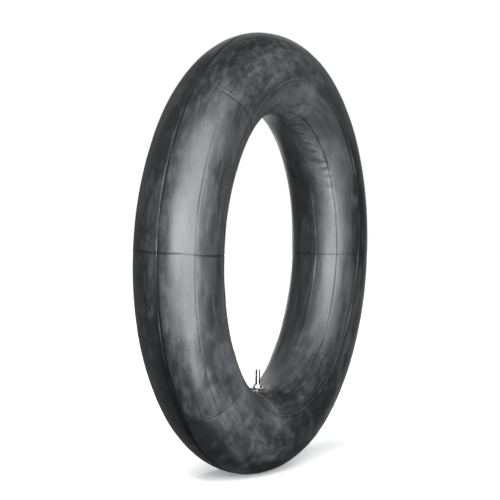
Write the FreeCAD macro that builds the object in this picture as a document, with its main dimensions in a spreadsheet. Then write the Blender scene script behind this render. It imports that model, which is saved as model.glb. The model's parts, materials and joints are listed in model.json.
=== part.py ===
import FreeCAD, Part
import math
import os
import Sketcher

# An inflated motorcycle inner tube with an all-metal straight valve.
#
# Frame, in millimetres: the ring stands upright in the XZ plane and its axis is +Y, as a wheel
# turns. The origin is the ring's centre. The valve is at the bottom and its stem points up, +Z,
# towards the wheel's hub.
#
# The valve's pieces are drawn about their own zero height, which is the top of the rubber where
# the stem comes out. Their Placement lifts that zero to the ring's inner circle.

SIZES = [
    # the rubber
    ("ring_radius", 260, "centre of the ring to the centre of its section"),
    ("section_radius", 60, "radius of the round section"),
    ("wall", 2.2, "thickness of the butyl wall"),
    ("patch_thickness", 1.0, "reinforcing patch round the valve"),
    ("patch_length", 84, "patch, along the ring"),
    ("patch_width", 52, "patch, across the ring"),
    # the stem
    ("stem_rise", 31, "rubber to the valve's mouth"),
    ("thread_radius", 3.875, "8V1 thread, over its crests"),
    ("nose_radius", 3.3, "plain nose above the thread"),
    ("nose_length", 1.2, "height of the nose"),
    ("shank_radius", 3.6, "stem inside the rubber and the clamped nut"),
    ("flange_radius", 9, "spud flange inside the tube"),
    ("flange_thickness", 1.8, "spud flange"),
    ("duct_radius", 1.9, "air way below the core"),
    ("core_bore_radius", 2.7, "5V1 thread that takes the core"),
    ("core_bore_depth", 9.5, "mouth to the start of the core's cone seat"),
    ("cone_depth", 1.6, "height of the core's cone seat"),
    # the hardware on the stem
    ("bridge_length", 22, "bridge washer, across the tube"),
    ("bridge_width", 14, "bridge washer, along the ring"),
    ("bridge_corner_room", 0.5, "bridge's end to the circle that trims its corners"),
    ("bridge_thickness", 1.1, "bridge washer's sheet"),
    ("bridge_flat", 9, "flat middle of the bridge, across the tube"),
    ("bridge_wing_radius", 11, "bend of each wing, on its underside"),
    ("nut_flats", 11, "hexagon, across flats"),
    ("nut_height", 2.5, "thin hexagon nut"),
    ("nut_chamfer", 0.8, "width of the chamfer across a nut's corners"),
    ("chamfer_fall", 0.6, "chamfer's fall for each millimetre outwards"),
    ("washer_radius", 5.6, "rim washer"),
    ("washer_thickness", 0.6, "rim washer"),
    # the valve core, as depths below the stem's mouth
    ("pin_radius", 0.5, "pin"),
    ("pin_head_radius", 0.85, "button on the pin's top"),
    ("pin_head_height", 0.9, "button"),
    ("pin_travel", 1.5, "stroke that opens the valve"),
    ("pin_proud", 1.1, "button's top above the plug"),
    ("plug_neck_radius", 1.95, "neck that the core key grips"),
    ("stroke_gap", 0.6, "spare depth under the button at full stroke"),
    ("plug_key_width", 2.9, "across the neck's two flats"),
    ("plug_height", 5.4, "whole plug"),
    ("plug_web", 0.9, "web that guides the pin"),
    ("collar_radius", 1.15, "collar staked on the pin"),
    ("collar_height", 0.5, "collar"),
    ("chamber_radius", 1.35, "spring chamber"),
    ("barrel_neck_radius", 1.75, "barrel, where the plug holds it"),
    ("barrel_neck_height", 1.2, "barrel, held in the plug"),
    ("seal_proud", 0.7, "seal's top above the start of the cone seat"),
    ("barrel_body_radius", 2.3, "barrel's shoulder"),
    ("barrel_body_height", 1.9, "barrel's shoulder"),
    ("barrel_waist_radius", 1.4, "barrel, inside the seal"),
    ("barrel_waist_height", 2.3, "barrel, inside the seal"),
    ("barrel_foot_radius", 1.62, "lip that holds the seal up"),
    ("barrel_foot_height", 0.9, "lip"),
    ("barrel_duct_radius", 0.8, "air way past the pin"),
    ("barrel_floor", 0.5, "metal under the spring, above the waist"),
    ("spring_radius", 0.95, "spring, to the centre of its wire"),
    ("wire_radius", 0.14, "spring's wire"),
    ("spring_turns", 5, "spring"),
    ("seal_radius", 1.4, "plunger's rubber seal"),
    ("seal_height", 0.8, "plunger's rubber seal"),
    ("cup_wall", 0.2, "plunger cup"),
    ("cup_depth", 0.5, "seal's height inside the cup"),
    ("pin_foot", 0.4, "pin staked below the cup"),
    # gaps between pieces
    ("running_gap", 0.05, "nut, washer or pin on what it slides on"),
    ("core_gap", 0.1, "core's parts in the stem, on each side"),
    ("seat_gap", 0.05, "rubber or wire against the metal that it bears on"),
    ("collar_gap", 0.3, "collar under the plug's web"),
    ("hole_gap", 0.3, "rubber round the stem"),
]

document = FreeCAD.newDocument("InnerTube")
sheet = document.addObject("Spreadsheet::Sheet", "Size")
for row, (alias, value, meaning) in enumerate(SIZES, start=1):
    sheet.set(f"A{row}", meaning)
    sheet.set(f"B{row}", str(value))
    sheet.setAlias(f"B{row}", alias)
document.recompute()


class Length:
    """A length as an expression of the sheet's cells, so that objects can be bound to it."""

    def __init__(self, words):
        self.words = str(words)

    def __add__(self, other):
        return Length(f"({self.words} + {words_of(other)})")

    def __sub__(self, other):
        return Length(f"({self.words} - {words_of(other)})")

    def __mul__(self, other):
        return Length(f"({self.words} * {words_of(other)})")

    def __truediv__(self, other):
        return Length(f"({self.words} / {words_of(other)})")

    def __neg__(self):
        return Length(f"(0 - {self.words})")

    def now(self):
        """The length as a plain number."""
        return float(sheet.evalExpression(self.words))


def words_of(length):
    return length.words if isinstance(length, Length) else str(length)


def size(alias):
    """The sheet's cell of that name."""
    return Length(f"Size.{alias}")


def leg(slope, other_leg):
    """The second leg of a right triangle, from its longest side and its first leg."""
    return Length(f"sqrt({words_of(slope * slope - other_leg * other_leg)})")


def number(length):
    return length.now() if isinstance(length, Length) else float(length)


# Heights about the rubber's top at the stem, which is the valve's zero.

mouth = size("stem_rise")
inside_face = -size("wall")
foot = inside_face - size("flange_thickness")
bridge_reach = (size("bridge_length") - size("bridge_flat")) / 2
wing_drop = size("bridge_wing_radius") - leg(size("bridge_wing_radius"), bridge_reach)
patch_round = size("section_radius") + size("patch_thickness")
patch_at_wing = leg(patch_round, size("bridge_length") / 2) - size("section_radius")
bridge_underside = patch_at_wing + size("seat_gap") + wing_drop
bridge_crown = bridge_underside + size("bridge_thickness")
base_nut_top = bridge_crown + size("nut_height")
rim_washer_top = base_nut_top + size("washer_thickness")


def below_mouth(depth):
    """Height of a point of the core, from its depth below the stem's mouth."""
    return mouth - depth


# Helpers that draw and turn the pieces.


def new_body(label):
    body = document.addObject("PartDesign::Body", label)
    body.Label = label
    return body


def put_on_ring(piece):
    """Lift a valve piece so that its zero height is on the ring's inner circle."""
    drop = size("section_radius") - size("ring_radius")
    piece.setExpression("Placement.Base.z", drop.words)


def new_sketch(body, name, role, lift=None):
    """An empty sketch on one of the body's own origin planes, lifted off it if need be."""
    sketch = body.newObject("Sketcher::SketchObject", name)
    planes = [item for item in body.Origin.OriginFeatures if item.Role == role]
    sketch.AttachmentSupport = [(planes[0], "")]
    sketch.MapMode = "FlatFace"
    if lift is not None:
        sketch.setExpression("AttachmentOffset.Base.z", words_of(lift))
    return sketch


def bind(sketch, kind, where, length):
    """Add a dimension to the sketch and bind it to the sheet."""
    index = sketch.addConstraint(Sketcher.Constraint(kind, *where, number(length)))
    sketch.setExpression(f"Constraints[{index}]", words_of(length))


def pin_point(sketch, edge, end, corner):
    """Fix one end of an edge by its two distances from the sketch's origin."""
    for kind, axis, length in zip(("DistanceX", "DistanceY"), (-2, -1), corner):
        if number(length) == 0:
            sketch.addConstraint(Sketcher.Constraint("PointOnObject", edge, end, axis))
        else:
            bind(sketch, kind, (-1, 1, edge, end), length)


def draw_outline(sketch, corners):
    """A closed outline of straight edges through the corners."""
    points = [FreeCAD.Vector(number(x), number(y), 0) for x, y in corners]
    first = sketch.GeometryCount
    count = len(corners)
    for index, point in enumerate(points):
        sketch.addGeometry(Part.LineSegment(point, points[(index + 1) % count]), False)
    for index in range(count):
        following = first + (index + 1) % count
        sketch.addConstraint(Sketcher.Constraint("Coincident", first + index, 2, following, 1))
    for index, corner in enumerate(corners):
        pin_point(sketch, first + index, 1, corner)


def draw_circle(sketch, centre, radius):
    """A circle whose centre and radius are bound to the sheet."""
    middle = FreeCAD.Vector(number(centre[0]), number(centre[1]), 0)
    up = FreeCAD.Vector(0, 0, 1)
    edge = sketch.addGeometry(Part.Circle(middle, up, number(radius)), False)
    pin_point(sketch, edge, 3, centre)
    bind(sketch, "Radius", (edge,), radius)


def turn(body, sketch, kind="PartDesign::Revolution"):
    """Turn the sketch once round its own vertical axis, to add metal or, as a groove, to cut it."""
    feature = body.newObject(kind, f"{body.Label}_{kind.split('::')[1]}")
    feature.Profile = sketch
    feature.ReferenceAxis = (sketch, ["V_Axis"])
    feature.Angle = 360
    body.Tip = feature
    return feature


def lathe(label, corners):
    """A piece turned about the stem's axis, from corners of radius and height."""
    body = new_body(label)
    sketch = new_sketch(body, f"{label}_profile", "XZ_Plane")
    draw_outline(sketch, corners)
    turn(body, sketch)
    put_on_ring(body)
    return body


def pocket(body, sketch, depth, downwards=True):
    """Cut the sketch into the body, and make sure that it cut something."""
    document.recompute()
    before = body.Shape.Volume
    feature = body.newObject("PartDesign::Pocket", f"{sketch.Name}_cut")
    feature.Profile = sketch
    feature.setExpression("Length", words_of(depth))
    feature.Reversed = not downwards
    body.Tip = feature
    document.recompute()
    if body.Shape.Volume >= before:
        raise RuntimeError(f"{feature.Name} cuts nothing")


# The rubber.


def make_tube_body():
    """The butyl ring: a hollow torus with the valve's hole, and a flat seat for the spud."""
    body = new_body("tube_body")
    sketch = new_sketch(body, "tube_section", "XY_Plane")
    centre = (size("ring_radius"), 0)
    draw_circle(sketch, centre, size("section_radius"))
    draw_circle(sketch, centre, size("section_radius") - size("wall"))
    turn(body, sketch)

    wall_top = size("section_radius") - size("ring_radius")
    clear = size("wall")
    hole = new_sketch(body, "valve_hole", "XY_Plane", wall_top + clear)
    draw_circle(hole, (0, 0), size("shank_radius") + size("hole_gap"))
    pocket(body, hole, clear + size("wall") + clear)

    seat = new_sketch(body, "spud_seat", "XY_Plane", wall_top - size("wall"))
    draw_circle(seat, (0, 0), size("flange_radius") + size("hole_gap"))
    pocket(body, seat, size("flange_thickness"))
    return body


def make_valve_patch():
    """The oval patch cured on the rubber round the valve: a slice of a slightly fatter torus."""
    layers = []
    for name, extra in (("patch_top", size("patch_thickness")), ("patch_underside", Length(0))):
        torus = document.addObject("Part::Torus", name)
        torus.setExpression("Radius1", size("ring_radius").words)
        torus.setExpression("Radius2", (size("section_radius") + extra).words)
        torus.Placement.Rotation = FreeCAD.Rotation(FreeCAD.Vector(1, 0, 0), 90)
        layers.append(torus)
    skin = document.addObject("Part::Cut", "patch_skin")
    skin.Base, skin.Tool = layers

    # the oval outline starts below the patch's long sides and ends above its two tips
    half_length = size("patch_length") / 2
    half_width = size("patch_width") / 2
    inner_radius = size("ring_radius") - size("section_radius")
    side_drop = size("section_radius") - leg(size("section_radius"), half_width)
    tip_rise = inner_radius - leg(inner_radius, half_length)
    outline_foot = -inner_radius - side_drop - size("patch_thickness")
    outline_height = side_drop + tip_rise + size("patch_thickness") * 3

    rim = document.addObject("Part::Ellipse", "patch_rim")
    rim.setExpression("MajorRadius", half_length.words)
    rim.setExpression("MinorRadius", half_width.words)
    rim.setExpression("Placement.Base.z", outline_foot.words)

    outline = document.addObject("Part::Extrusion", "patch_outline")
    outline.Base = rim
    outline.DirMode = "Custom"
    outline.Dir = FreeCAD.Vector(0, 0, 1)
    outline.Solid = True
    outline.setExpression("LengthFwd", outline_height.words)

    oval = document.addObject("Part::Common", "patch_oval")
    oval.Base = skin
    oval.Tool = outline

    drill = document.addObject("Part::Cylinder", "patch_drill")
    drill.setExpression("Radius", (size("shank_radius") + size("hole_gap")).words)
    drill.setExpression("Height", outline_height.words)
    drill.setExpression("Placement.Base.z", outline_foot.words)

    patch = document.addObject("Part::Cut", "valve_patch")
    patch.Label = "valve_patch"
    patch.Base = oval
    patch.Tool = drill
    return patch


# The stem and its hardware.


def make_valve_stem():
    """Plated brass: spud flange, shank, thread and nose, bored for the air and the core."""
    cone_foot = below_mouth(size("core_bore_depth") + size("cone_depth"))
    return lathe(
        "valve_stem",
        [
            (size("duct_radius"), foot),
            (size("flange_radius"), foot),
            (size("flange_radius"), inside_face),
            (size("shank_radius"), inside_face),
            (size("shank_radius"), base_nut_top),
            (size("thread_radius"), base_nut_top),
            (size("thread_radius"), mouth - size("nose_length")),
            (size("nose_radius"), mouth - size("nose_length")),
            (size("nose_radius"), mouth),
            (size("core_bore_radius"), mouth),
            (size("core_bore_radius"), below_mouth(size("core_bore_depth"))),
            (size("duct_radius"), cone_foot),
        ],
    )


def make_bridge_washer():
    """Stamped steel: a flat middle under the nut and a wing bent down on each side."""
    body = new_body("bridge_washer")
    sketch = new_sketch(body, "bridge_profile", "YZ_Plane")
    half = size("bridge_length") / 2
    flat = size("bridge_flat") / 2
    bend = bridge_underside - size("bridge_wing_radius")

    def wing_foot(radius):
        """Height at which a wing's arc ends, straight below the end of the washer."""
        return bend + leg(radius, bridge_reach)

    inner = size("bridge_wing_radius")
    outer = inner + size("bridge_thickness")
    edges = {}

    def line(name, start, end):
        points = [FreeCAD.Vector(number(x), number(y), 0) for x, y in (start, end)]
        edges[name] = sketch.addGeometry(Part.LineSegment(*points), False)

    def wing(name, side, radius):
        """One arc of a wing, from the flat middle to the washer's end."""
        centre = FreeCAD.Vector(side * flat.now(), bend.now(), 0)
        tip = math.atan2((wing_foot(radius) - bend).now(), side * bridge_reach.now())
        angles = sorted((math.pi / 2, tip))
        circle = Part.Circle(centre, FreeCAD.Vector(0, 0, 1), number(radius))
        edges[name] = sketch.addGeometry(Part.ArcOfCircle(circle, *angles), False)
        pin_point(sketch, edges[name], 3, (flat * side, bend))

    faces = (("top", bridge_crown, outer), ("under", bridge_underside, inner))
    for name, height, radius in faces:
        line(name, (-flat, height), (flat, height))
        wing(f"{name}_left", -1, radius)
        wing(f"{name}_right", 1, radius)
        pin_point(sketch, edges[name], 1, (-flat, height))
        pin_point(sketch, edges[name], 2, (flat, height))
    for side, word in ((-1, "left"), (1, "right")):
        end = half * side
        line(word, (end, wing_foot(inner)), (end, wing_foot(outer)))

    # an arc starts at its lower angle: a left wing starts on the flat, a right wing at its tip
    joints = [
        ("top", 1, "top_left", 1),
        ("top", 2, "top_right", 2),
        ("under", 1, "under_left", 1),
        ("under", 2, "under_right", 2),
        ("left", 1, "under_left", 2),
        ("left", 2, "top_left", 2),
        ("right", 1, "under_right", 1),
        ("right", 2, "top_right", 1),
    ]
    for edge, end, other, other_end in joints:
        where = (edges[edge], end, edges[other], other_end)
        sketch.addConstraint(Sketcher.Constraint("Coincident", *where))
    for side, word in ((-1, "left"), (1, "right")):
        for end in (1, 2):
            bind(sketch, "DistanceX", (-1, 1, edges[word], end), half * side)

    pad = body.newObject("PartDesign::Pad", "bridge_sheet")
    pad.Profile = sketch
    pad.setExpression("Length", size("bridge_width").words)
    pad.Midplane = True
    body.Tip = pad

    hole = new_sketch(body, "bridge_hole", "XY_Plane", bridge_crown)
    draw_circle(hole, (0, 0), size("shank_radius") + size("core_gap"))
    pocket(body, hole, bridge_crown)

    # the stamping's four corners are trimmed round by one circle
    trim = new_sketch(body, "bridge_trim", "XY_Plane", bridge_crown)
    draw_circle(trim, (0, 0), half + size("bridge_corner_room"))
    draw_circle(trim, (0, 0), size("bridge_length"))
    pocket(body, trim, size("bridge_length"))
    put_on_ring(body)
    return body


NUT_SIDES = 6
EXPRESSION_DIGITS = 9


def share(ratio):
    """A plain ratio, rounded so that an expression can hold it."""
    return round(ratio, EXPRESSION_DIGITS)


def make_nut(label, underside, bore):
    """A thin hexagon nut with chamfered corners, flats towards the tube's sides."""
    body = new_body(label)
    side_angle = 2 * math.pi / NUT_SIDES
    corner = size("nut_flats") / 2 / share(math.cos(side_angle / 2))
    blank = new_sketch(body, f"{label}_hexagon", "XY_Plane", underside)
    corners = []
    for step in range(NUT_SIDES):
        along, across = math.cos(step * side_angle), share(math.sin(step * side_angle))
        corners.append((corner * share(along), corner * across if across else 0))
    draw_outline(blank, corners)
    pad = body.newObject("PartDesign::Pad", f"{label}_blank")
    pad.Profile = blank
    pad.setExpression("Length", size("nut_height").words)
    body.Tip = pad

    top = underside + size("nut_height")
    hole = new_sketch(body, f"{label}_bore", "XY_Plane", top)
    draw_circle(hole, (0, 0), bore)
    pocket(body, hole, size("nut_height"))

    chamfers = new_sketch(body, f"{label}_chamfers", "XZ_Plane")
    beyond = corner + size("nut_chamfer")
    shoulder = corner - size("nut_chamfer")
    fall = (beyond - shoulder) * size("chamfer_fall")
    for face, inward in ((underside, 1), (top, -1)):
        draw_outline(chamfers, [(shoulder, face), (beyond, face), (beyond, face + fall * inward)])
    turn(body, chamfers, "PartDesign::Groove")
    put_on_ring(body)
    return body


def make_rim_washer():
    bore = size("thread_radius") + size("running_gap")
    return lathe(
        "rim_washer",
        [
            (bore, base_nut_top),
            (size("washer_radius"), base_nut_top),
            (size("washer_radius"), rim_washer_top),
            (bore, rim_washer_top),
        ],
    )


# The valve core. Depths run down from the stem's mouth.

# The core is screwed in until its seal bears on the cone seat, so it is laid out up from there.
waist_top = size("core_bore_depth") - size("seal_proud")
body_top = waist_top - size("barrel_body_height")
plug_foot = body_top - size("core_gap")
plug_top = plug_foot - size("plug_height")
head_top = plug_top - size("pin_proud")
head_foot = head_top + size("pin_head_height")
neck_foot = head_foot + size("pin_travel") + size("stroke_gap")
web_foot = neck_foot + size("plug_web")
collar_top = web_foot + size("collar_gap")
collar_foot = collar_top + size("collar_height")
barrel_top = plug_foot - size("barrel_neck_height")
foot_top = waist_top + size("barrel_waist_height")
barrel_foot = foot_top + size("barrel_foot_height")
chamber_floor = waist_top - size("barrel_floor")
seal_foot = barrel_foot + size("seal_height")
cup_foot = seal_foot + size("cup_wall")
guide_radius = size("pin_radius") + size("running_gap")


def make_core_plug():
    """Threaded plug: a keyed neck, a web that guides the pin, and a skirt round the barrel."""
    body_radius = size("core_bore_radius") - size("core_gap")
    skirt_bore = size("barrel_neck_radius") + size("core_gap")
    button_way = size("pin_head_radius") + size("core_gap") * 2
    skirt_top = barrel_top - size("core_gap")
    body = lathe(
        "core_plug",
        [
            (button_way, below_mouth(plug_top)),
            (size("plug_neck_radius"), below_mouth(plug_top)),
            (size("plug_neck_radius"), below_mouth(neck_foot)),
            (body_radius, below_mouth(neck_foot)),
            (body_radius, below_mouth(plug_foot)),
            (skirt_bore, below_mouth(plug_foot)),
            (skirt_bore, below_mouth(skirt_top)),
            (size("chamber_radius"), below_mouth(skirt_top)),
            (size("chamber_radius"), below_mouth(web_foot)),
            (guide_radius, below_mouth(web_foot)),
            (guide_radius, below_mouth(neck_foot)),
            (button_way, below_mouth(neck_foot)),
        ],
    )
    key = new_sketch(body, "plug_key_flats", "XY_Plane", below_mouth(plug_top))
    reach = size("plug_neck_radius") + size("core_gap")
    inner = size("plug_key_width") / 2
    for side in (-1, 1):
        near, far = inner * side, reach * side
        draw_outline(key, [(-reach, near), (reach, near), (reach, far), (-reach, far)])
    pocket(body, key, neck_foot - plug_top)
    return body


def make_core_barrel():
    """The barrel hangs in the plug's skirt, holds the spring and carries the seal on its waist."""
    return lathe(
        "core_barrel",
        [
            (size("chamber_radius"), below_mouth(barrel_top)),
            (size("barrel_neck_radius"), below_mouth(barrel_top)),
            (size("barrel_neck_radius"), below_mouth(body_top)),
            (size("barrel_body_radius"), below_mouth(body_top)),
            (size("barrel_body_radius"), below_mouth(waist_top)),
            (size("barrel_waist_radius"), below_mouth(waist_top)),
            (size("barrel_waist_radius"), below_mouth(foot_top)),
            (size("barrel_foot_radius"), below_mouth(foot_top)),
            (size("barrel_foot_radius"), below_mouth(barrel_foot)),
            (size("barrel_duct_radius"), below_mouth(barrel_foot)),
            (size("barrel_duct_radius"), below_mouth(chamber_floor)),
            (size("chamber_radius"), below_mouth(chamber_floor)),
        ],
    )


def cone_radius(depth):
    """Radius of the stem's cone seat at a depth below the mouth."""
    fall = size("core_bore_radius") - size("duct_radius")
    return size("core_bore_radius") - (depth - size("core_bore_depth")) * fall / size("cone_depth")


def make_core_gasket():
    """The tapered seal between the barrel's waist and the stem's cone seat."""
    gap = size("seat_gap")
    inner = size("barrel_waist_radius") + gap
    seal_top = size("core_bore_depth")
    seal_low = foot_top - gap
    return lathe(
        "core_gasket",
        [
            (inner, below_mouth(waist_top + gap)),
            (size("barrel_body_radius"), below_mouth(waist_top + gap)),
            (cone_radius(seal_top) - gap * 2, below_mouth(seal_top)),
            (cone_radius(seal_low) - gap * 2, below_mouth(seal_low)),
            (inner, below_mouth(seal_low)),
        ],
    )


def make_core_pin():
    """The pin, from its button down to the foot staked under the cup."""
    pin_end = cup_foot + size("pin_foot")
    return lathe(
        "core_pin",
        [
            (0, below_mouth(head_top)),
            (size("pin_head_radius"), below_mouth(head_top)),
            (size("pin_head_radius"), below_mouth(head_foot)),
            (size("pin_radius"), below_mouth(head_foot)),
            (size("pin_radius"), below_mouth(cup_foot)),
            (size("pin_head_radius"), below_mouth(cup_foot)),
            (size("pin_head_radius"), below_mouth(pin_end)),
            (0, below_mouth(pin_end)),
        ],
    )


def make_spring_collar():
    """The spring pushes up on this collar, which is staked on the pin."""
    return lathe(
        "spring_collar",
        [
            (size("pin_radius"), below_mouth(collar_top)),
            (size("collar_radius"), below_mouth(collar_top)),
            (size("collar_radius"), below_mouth(collar_foot)),
            (size("pin_radius"), below_mouth(collar_foot)),
        ],
    )


def make_core_spring():
    """The return spring, between the collar and the barrel's floor."""
    body = new_body("core_spring")
    gap = size("seat_gap")
    start = below_mouth(chamber_floor) + size("wire_radius") + gap
    end = below_mouth(collar_foot) - size("wire_radius") - gap
    wire = new_sketch(body, "spring_wire", "XZ_Plane")
    draw_circle(wire, (size("spring_radius"), start), size("wire_radius"))
    coil = body.newObject("PartDesign::AdditiveHelix", "spring_coil")
    coil.Profile = wire
    coil.ReferenceAxis = (wire, ["V_Axis"])
    coil.Mode = "height-turns-angle"
    coil.setExpression("Height", (end - start).words)
    coil.setExpression("Turns", size("spring_turns").words)
    body.Tip = coil
    put_on_ring(body)
    return body


def make_plunger_seal():
    """The rubber washer that closes on the barrel's foot."""
    return lathe(
        "plunger_seal",
        [
            (size("pin_radius"), below_mouth(barrel_foot)),
            (size("seal_radius"), below_mouth(barrel_foot)),
            (size("seal_radius"), below_mouth(seal_foot)),
            (size("pin_radius"), below_mouth(seal_foot)),
        ],
    )


def make_plunger_cup():
    """The cup that carries the seal on the pin."""
    rim = seal_foot - size("cup_depth")
    outer = size("seal_radius") + size("cup_wall")
    return lathe(
        "plunger_cup",
        [
            (size("pin_radius"), below_mouth(seal_foot)),
            (size("seal_radius"), below_mouth(seal_foot)),
            (size("seal_radius"), below_mouth(rim)),
            (outer, below_mouth(rim)),
            (outer, below_mouth(cup_foot)),
            (size("pin_radius"), below_mouth(cup_foot)),
        ],
    )


pieces = [
    make_tube_body(),
    make_valve_patch(),
    make_valve_stem(),
    make_bridge_washer(),
    make_nut("base_nut", bridge_crown, size("shank_radius") + size("running_gap")),
    make_rim_washer(),
    make_nut("rim_nut", rim_washer_top, size("thread_radius") + size("running_gap")),
    make_core_plug(),
    make_core_barrel(),
    make_core_gasket(),
    make_core_pin(),
    make_spring_collar(),
    make_core_spring(),
    make_plunger_seal(),
    make_plunger_cup(),
]
document.recompute()

for item in document.Objects:
    if {"Invalid", "Error"} & set(item.State):
        raise RuntimeError(f"{item.Name} failed: {item.State}")
for piece in pieces:
    shape = piece.Shape
    if shape.isNull() or not shape.isValid() or len(shape.Solids) != 1:
        raise RuntimeError(f"{piece.Label} isn't one valid solid")

os.makedirs("parts", exist_ok=True)
for piece in pieces:
    piece.Shape.exportStep(f"parts/{piece.Label}.step")
    box = piece.Shape.BoundBox
    print(f"{piece.Label:15s} {piece.Shape.Volume:12.3f} mm3   z {box.ZMin:9.3f} to {box.ZMax:9.3f}")
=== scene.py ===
# %% [markdown]
# # An inner tube with a metal valve
#
# The object is a pumped-up butyl ring: a rubber tube, cured in a two-part mould, with a short metal
# valve that points towards the wheel's hub. The frame below is the engineering model of it. It says
# where everything is, so each piece here is made in that frame, in metres, and takes its place and
# size from the frame's own boxes.

# %% Load the frame
import json
import math

import bmesh
import bpy
import numpy as np
from mathutils import Matrix, Vector, noise


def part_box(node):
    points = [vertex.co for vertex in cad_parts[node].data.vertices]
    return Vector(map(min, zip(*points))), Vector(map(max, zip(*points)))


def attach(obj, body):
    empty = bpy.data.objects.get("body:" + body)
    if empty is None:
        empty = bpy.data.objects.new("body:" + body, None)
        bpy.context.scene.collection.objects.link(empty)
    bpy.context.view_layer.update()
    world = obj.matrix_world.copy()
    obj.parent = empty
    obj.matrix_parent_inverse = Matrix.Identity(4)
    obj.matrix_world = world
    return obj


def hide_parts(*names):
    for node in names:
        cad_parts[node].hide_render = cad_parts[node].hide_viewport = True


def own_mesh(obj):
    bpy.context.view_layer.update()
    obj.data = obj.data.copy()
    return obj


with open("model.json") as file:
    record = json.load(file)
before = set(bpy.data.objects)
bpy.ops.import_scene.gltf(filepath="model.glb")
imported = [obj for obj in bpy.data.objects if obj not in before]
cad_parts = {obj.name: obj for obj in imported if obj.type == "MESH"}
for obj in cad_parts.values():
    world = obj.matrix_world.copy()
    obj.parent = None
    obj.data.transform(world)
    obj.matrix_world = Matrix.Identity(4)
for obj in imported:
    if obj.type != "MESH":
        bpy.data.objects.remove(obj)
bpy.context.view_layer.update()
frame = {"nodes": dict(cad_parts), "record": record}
MM = 0.001

# %% The driving sizes, read from the frame
tube_low, tube_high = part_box("tube_body")
SECTION = round(tube_high.y, 4)
RING = round(tube_high.z - SECTION, 4)
INNER = RING - SECTION
print(f"ring of {RING / MM:.0f} mm to its centre line, section of {SECTION / MM:.0f} mm radius")

# %% [markdown]
# ## Studio
#
# A satin black object shows almost nothing but the lights that it mirrors. So the light is a curved
# wall of soft boxes round the camera, bright at the middle and weaker above and below, which draws
# a broad soft band on every wall that faces it. Boxes below the floor's level stand for a glowing
# table, so the floor lets lamp light through. A small lamp with a honeycomb grid lights only the
# inner wall of the upper half. The floor has a soft sun of its own, which gives it a faint shadow
# and keeps it white without greying the rubber. Boxes straight behind the ring light its back, and
# from the front they only draw a thin rim round its outline.

# %% Floor and sky
FLOOR_SIDE = 60.0
WHITE = (1.0, 1.0, 1.0, 1.0)


def tidy_mesh_object(name, bm, smooth=True):
    """Turn a finished bmesh into an object at the origin."""
    mesh = bpy.data.meshes.new(name)
    bm.to_mesh(mesh)
    bm.free()
    for face in mesh.polygons:
        face.use_smooth = smooth
    piece = bpy.data.objects.new(name, mesh)
    bpy.context.scene.collection.objects.link(piece)
    return piece


def node(tree, kind, inputs=None, **settings):
    """Add a shader node, set its options, and feed its inputs with links or plain values."""
    made = tree.nodes.new(f"ShaderNode{kind}")
    for name, value in settings.items():
        setattr(made, name, value)
    for name, value in (inputs or {}).items():
        if isinstance(value, bpy.types.NodeSocket):
            tree.links.new(value, made.inputs[name])
        else:
            made.inputs[name].default_value = value
    return made


def new_material(name, **settings):
    """A material with a Principled shader whose plain settings are given by name."""
    material = bpy.data.materials.new(name)
    material.use_nodes = True
    tree = material.node_tree
    tree.nodes.clear()
    shader = node(tree, "BsdfPrincipled", settings)
    node(tree, "OutputMaterial", {"Surface": shader.outputs["BSDF"]})
    return material, tree, shader


bm = bmesh.new()
bmesh.ops.create_grid(bm, x_segments=1, y_segments=1, size=FLOOR_SIDE / 2)
bmesh.ops.translate(bm, verts=bm.verts, vec=(0, 0, tube_low.z))
floor = tidy_mesh_object("studio_floor", bm, smooth=False)
paper = new_material("white_paper", **{
    "Base Color": (0.9, 0.9, 0.9, 1.0),
    "Roughness": 0.9,
    "Emission Color": WHITE,
    "Emission Strength": 0.18,
})[0]
floor.data.materials.append(paper)
floor.visible_glossy = False
floor.visible_diffuse = False
floor.visible_shadow = False

world = bpy.data.worlds.new("studio_sky")
bpy.context.scene.world = world
world.use_nodes = True
sky = world.node_tree
sky.nodes.clear()
direction = node(sky, "TexCoord")
height = node(sky, "SeparateXYZ", {"Vector": direction.outputs["Generated"]})
room = node(sky, "MapRange", {"Value": height.outputs["Z"], "From Min": -0.3, "From Max": 0.6,
                              "To Min": 0.015, "To Max": 0.08})
far_wall = node(sky, "MapRange", {"Value": height.outputs["Y"], "From Min": 0.2, "From Max": 0.9,
                                  "To Min": 0.0, "To Max": 0.22})
lit = node(sky, "Math", {0: room.outputs["Result"], 1: far_wall.outputs["Result"]},
           operation="ADD")
seen = node(sky, "LightPath")
level = node(sky, "Mix", {"Factor": seen.outputs["Is Camera Ray"], "A": lit.outputs[0],
                          "B": 1.0})
backdrop = node(sky, "Background", {"Color": WHITE, "Strength": level.outputs["Result"]})
node(sky, "OutputWorld", {"Surface": backdrop.outputs["Background"]})
bpy.context.scene.view_settings.view_transform = "Standard"
print("floor at", round(tube_low.z, 4), "m")

# %% Lamps
DOME = 1.6
BOX_SIDE = 0.85
LAMPS = [
    # name, angle round from -X towards -Y, angle up, watts
    ("left_middle", 20, 10, 31.0),
    ("right_middle", 50, 10, 22.0),
    ("left_low", 20, -20, 14.5),
    ("right_low", 50, -20, 21.0),
    ("far_low", 80, -20, 3.5),
    ("left_high", 20, 40, 9.5),
    ("right_high", 50, 40, 16.0),
    ("far_high", 80, 40, 6.5),
    ("right_floor", 50, -50, 2.0),
    ("far_floor", 80, -50, 3.5),
    ("behind_high", 180, 20, 0.5),
    ("behind_low", 180, -10, 0.9),
    ("back_middle", -150, 5, 2.5),
    ("back_high", -155, 30, 1.2),
]
GRID_PLACE = (-0.62, -1.05, -1.15)
GRID_AIM = (0.20, 0.0, 0.17)
GRID_SIDE = 0.7
GRID_SPREAD = math.radians(26)
GRID_WATTS = 1.1
SUN_STRENGTH = 3.9
SUN_ANGLE = math.radians(28)
SUN_FROM = Vector((-0.75, -0.10, 1.0))
COOL_WHITE = (0.955, 0.975, 1.0)


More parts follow.
